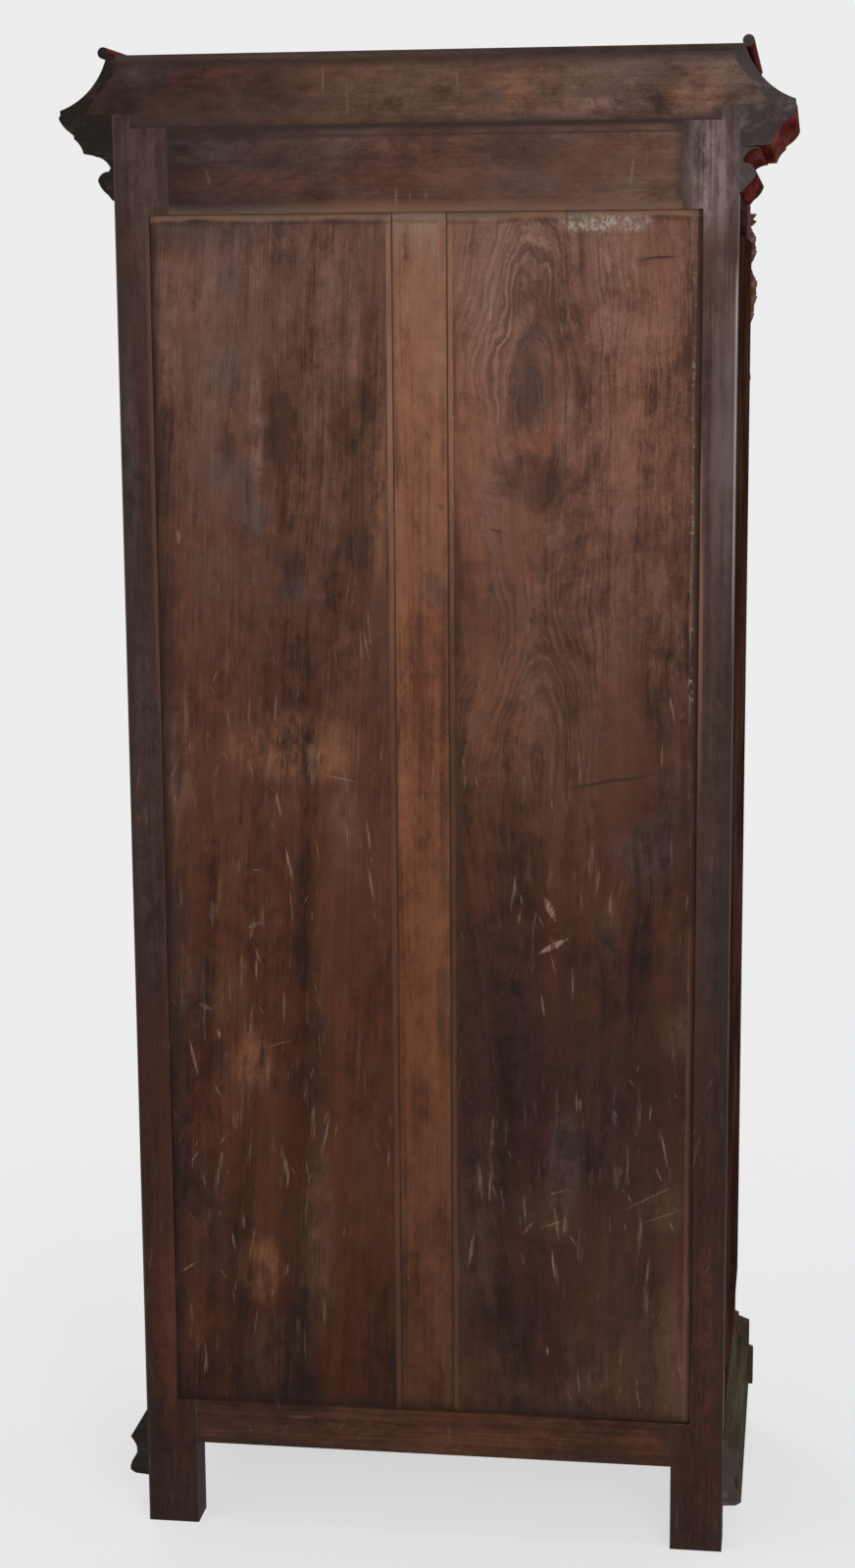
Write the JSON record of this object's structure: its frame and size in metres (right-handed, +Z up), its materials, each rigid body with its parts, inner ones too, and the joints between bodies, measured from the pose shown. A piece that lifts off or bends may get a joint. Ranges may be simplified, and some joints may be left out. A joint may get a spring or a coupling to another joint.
{
  "type": "display cabinet",
  "caption": "Tall freestanding display cabinet with a glazed hinged door over a raised panel, inner shelves, canted corners with carved brackets, a deep cornice and a framed, panelled back.",
  "frame": {"origin": "on the floor, under the middle of the cabinet's overall width and depth", "axes": "+Z up; the glazed door faces -Y and the boarded back faces +Y; +X is to the right as seen from the front"},
  "size_m": [0.894, 0.525, 1.908],
  "materials": {
    "polished_mahogany": "worn french polish, semi-gloss",
    "raw_back_boards": "raw aged boards, matt",
    "inner_boards": "thin old polish, satin",
    "clear_glass": "polished",
    "aged_brass": "aged, satin",
    "lock_steel": "dull, brushed"
  },
  "bodies": {
    "cabinet": {"back_bottom_rail": "raw_back_boards", "back_frieze_rail": "raw_back_boards", "back_muntin": "raw_back_boards", "back_panel_left": "raw_back_boards", "back_panel_right": "raw_back_boards", "base_moulding_front": "polished_mahogany", "base_moulding_left": "polished_mahogany", "base_moulding_right": "polished_mahogany", "bed_moulding_front": "polished_mahogany", "bed_moulding_left": "polished_mahogany", "bed_moulding_right": "polished_mahogany", "bottom_board": "inner_boards", "carcass_top": "inner_boards", "console_left": "polished_mahogany", "console_right": "polished_mahogany", "cornice_back_board": "raw_back_boards", "corona_front": "polished_mahogany", "corona_left": "polished_mahogany", "corona_right": "polished_mahogany", "cove_front": "polished_mahogany", "cove_left": "polished_mahogany", "cove_right": "polished_mahogany", "dust_board": "raw_back_boards", "front_bottom_rail": "polished_mahogany", "front_foot_left": "polished_mahogany", "front_foot_right": "polished_mahogany", "front_post_left": "polished_mahogany", "front_post_right": "polished_mahogany", "front_top_rail": "polished_mahogany", "hinge_post_leaves": "aged_brass", "plinth_collar_left": "polished_mahogany", "plinth_collar_right": "polished_mahogany", "rear_post_left": "polished_mahogany", "rear_post_right": "polished_mahogany", "shelf_battens": "inner_boards", "shelf_cleats": "inner_boards", "shelf_lower": "inner_boards", "shelf_middle": "inner_boards", "shelf_upper": "inner_boards", "side_bottom_rail_left": "polished_mahogany", "side_bottom_rail_right": "polished_mahogany", "side_moulding_left": "polished_mahogany", "side_moulding_right": "polished_mahogany", "side_panel_left": "polished_mahogany", "side_panel_right": "polished_mahogany", "side_top_rail_left": "polished_mahogany", "side_top_rail_right": "polished_mahogany"},
    "door": {"door_beads": "polished_mahogany", "door_bottom_rail": "polished_mahogany", "door_glass": "clear_glass", "door_hinge_stile": "polished_mahogany", "door_lock_stile": "polished_mahogany", "door_middle_rail": "polished_mahogany", "door_panel": "polished_mahogany", "door_top_rail": "polished_mahogany", "escutcheon": "aged_brass", "hinge_door_leaves": "aged_brass", "lock_case": "lock_steel"},
    "bolt": {"lock_bolt": "lock_steel"},
    "key": {"key": "aged_brass"}
  },
  "joints": [
    {"name": "door_hinge", "type": "hinge", "parent": "cabinet", "child": "door", "pos_m": [-0.31325, -0.2, 0.9], "axis": [0, 0, -1], "range_deg": [0, 115]},
    {"name": "key_turn", "type": "hinge", "parent": "door", "child": "key", "pos_m": [0.2765, -0.18, 0.921], "axis": [0, 1, 0], "range_deg": [0, 180]},
    {"name": "bolt_slide", "type": "slide", "parent": "door", "child": "bolt", "axis": [1, 0, 0], "range_m": [0, 0.009]}
  ],
  "couplings": [
    {"joint": "key_turn", "follows": "bolt_slide", "rad_per_m": 349.06}
  ]
}
